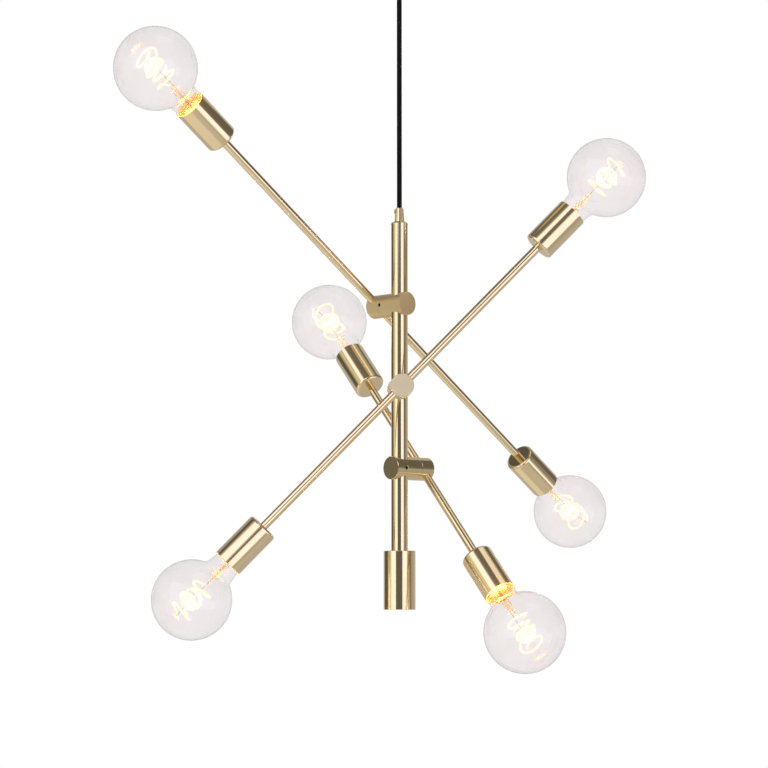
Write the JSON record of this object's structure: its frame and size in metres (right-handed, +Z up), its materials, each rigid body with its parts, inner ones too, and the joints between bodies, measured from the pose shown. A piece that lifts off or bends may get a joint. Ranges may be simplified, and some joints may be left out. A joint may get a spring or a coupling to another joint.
{
  "type": "sputnik chandelier",
  "caption": "Adjustable brass pendant light: straight rods with a globe bulb at both ends cross a hanging stem on swivelling, tilting knuckles.",
  "frame": {"origin": "centre of the ceiling bracket's two fixing holes, in the plane of the ceiling, on the stem's axis", "axes": "+Z up, out of the bracket into the ceiling; +X along the bracket's strap; the picture looks along +Y"},
  "size_m": [0.6185, 0.5857, 0.8719],
  "materials": {
    "polished_brass": "polished and lacquered",
    "satin_brass": "satin, machined",
    "plain_brass": "bare, as turned or pressed",
    "zinc_steel": "zinc plated",
    "black_screw_steel": "blackened",
    "nickel_cap": "nickel plated",
    "cord_sheath": "matt black sheath",
    "terminal_plastic": "moulded",
    "glazed_ceramic": "glazed",
    "clear_glass": "clear, blown",
    "led_filament": "glowing silicone"
  },
  "bodies": {
    "root": {"ceiling_bracket": "zinc_steel", "ceiling_terminal_block": "terminal_plastic", "pendant_cord": "cord_sheath", "cord_grip": "polished_brass", "cord_grip_screw": "polished_brass", "stem_top_cap": "polished_brass", "stem_tube": "polished_brass", "end_cup_nipple": "plain_brass", "end_cup": "polished_brass", "end_cup_nut": "plain_brass", "end_cup_lid": "polished_brass", "junction_block": "terminal_plastic"},
    "canopy": {"ceiling_canopy": "polished_brass", "canopy_gland": "polished_brass", "canopy_screws": "polished_brass"},
    "upper_knuckle": {"upper_knuckle_base": "satin_brass", "upper_grub_screws": "black_screw_steel"},
    "upper_arm": {"upper_pivot_tube": "plain_brass", "upper_knuckle_head": "satin_brass", "upper_arm_rod": "polished_brass", "upper_lampholder_cups": "polished_brass", "upper_rod_nuts": "zinc_steel", "upper_lampholder_inserts": "glazed_ceramic", "upper_lampholder_contacts": "plain_brass"},
    "upper_high_bulb": {"upper_high_bulb_glass": "clear_glass", "upper_high_bulb_cap": "nickel_cap", "upper_high_bulb_filament": "led_filament"},
    "upper_low_bulb": {"upper_low_bulb_glass": "clear_glass", "upper_low_bulb_cap": "nickel_cap", "upper_low_bulb_filament": "led_filament"},
    "middle_knuckle": {"middle_knuckle_base": "satin_brass", "middle_grub_screws": "black_screw_steel"},
    "middle_arm": {"middle_pivot_tube": "plain_brass", "middle_knuckle_head": "satin_brass", "middle_arm_rod": "polished_brass", "middle_lampholder_cups": "polished_brass", "middle_rod_nuts": "zinc_steel", "middle_lampholder_inserts": "glazed_ceramic", "middle_lampholder_contacts": "plain_brass"},
    "middle_high_bulb": {"middle_high_bulb_glass": "clear_glass", "middle_high_bulb_cap": "nickel_cap", "middle_high_bulb_filament": "led_filament"},
    "middle_low_bulb": {"middle_low_bulb_glass": "clear_glass", "middle_low_bulb_cap": "nickel_cap", "middle_low_bulb_filament": "led_filament"},
    "lower_knuckle": {"lower_knuckle_base": "satin_brass", "lower_grub_screws": "black_screw_steel"},
    "lower_arm": {"lower_pivot_tube": "plain_brass", "lower_knuckle_head": "satin_brass", "lower_arm_rod": "polished_brass", "lower_lampholder_cups": "polished_brass", "lower_rod_nuts": "zinc_steel", "lower_lampholder_inserts": "glazed_ceramic", "lower_lampholder_contacts": "plain_brass"},
    "lower_high_bulb": {"lower_high_bulb_glass": "clear_glass", "lower_high_bulb_cap": "nickel_cap", "lower_high_bulb_filament": "led_filament"},
    "lower_low_bulb": {"lower_low_bulb_glass": "clear_glass", "lower_low_bulb_cap": "nickel_cap", "lower_low_bulb_filament": "led_filament"}
  },
  "joints": [
    {"name": "canopy_slide", "type": "slide", "parent": "root", "child": "canopy", "axis": [0, 0, 1], "range_m": [-0.06, 0]},
    {"name": "upper_swivel", "type": "hinge", "parent": "root", "child": "upper_knuckle", "pos_m": [0, 0, -0.432], "axis": [0, 0, 1], "range_deg": [-25, 10]},
    {"name": "upper_tilt", "type": "hinge", "parent": "upper_knuckle", "child": "upper_arm", "pos_m": [0, 0, -0.432], "axis": [-0.7022, 0.712, 0], "range_deg": [-25, 20]},
    {"name": "upper_high_bulb_out", "type": "slide", "parent": "upper_arm", "child": "upper_high_bulb", "axis": [-0.5868, -0.5787, 0.5664], "range_m": [0, 0.04]},
    {"name": "upper_low_bulb_out", "type": "slide", "parent": "upper_arm", "child": "upper_low_bulb", "axis": [0.5868, 0.5787, -0.5664], "range_m": [0, 0.04]},
    {"name": "middle_swivel", "type": "hinge", "parent": "root", "child": "middle_knuckle", "pos_m": [0, 0, -0.534], "axis": [0, 0, 1], "range_deg": [-30, 25]},
    {"name": "middle_tilt", "type": "hinge", "parent": "middle_knuckle", "child": "middle_arm", "pos_m": [0, 0, -0.534], "axis": [0.0785, -0.9969, 0], "range_deg": [-25, 30]},
    {"name": "middle_high_bulb_out", "type": "slide", "parent": "middle_arm", "child": "middle_high_bulb", "axis": [0.6963, 0.0548, 0.7157], "range_m": [0, 0.04]},
    {"name": "middle_low_bulb_out", "type": "slide", "parent": "middle_arm", "child": "middle_low_bulb", "axis": [-0.6963, -0.0548, -0.7157], "range_m": [0, 0.04]},
    {"name": "lower_swivel", "type": "hinge", "parent": "root", "child": "lower_knuckle", "pos_m": [0, 0, -0.63], "axis": [0, 0, 1], "range_deg": [-10, 30]},
    {"name": "lower_tilt", "type": "hinge", "parent": "lower_knuckle", "child": "lower_arm", "pos_m": [0, 0, -0.63], "axis": [0.749, 0.6626, 0], "range_deg": [-30, 5]},
    {"name": "lower_high_bulb_out", "type": "slide", "parent": "lower_arm", "child": "lower_high_bulb", "axis": [-0.4442, 0.5021, 0.742], "range_m": [0, 0.04]},
    {"name": "lower_low_bulb_out", "type": "slide", "parent": "lower_arm", "child": "lower_low_bulb", "axis": [0.4442, -0.5021, -0.742], "range_m": [0, 0.04]}
  ]
}
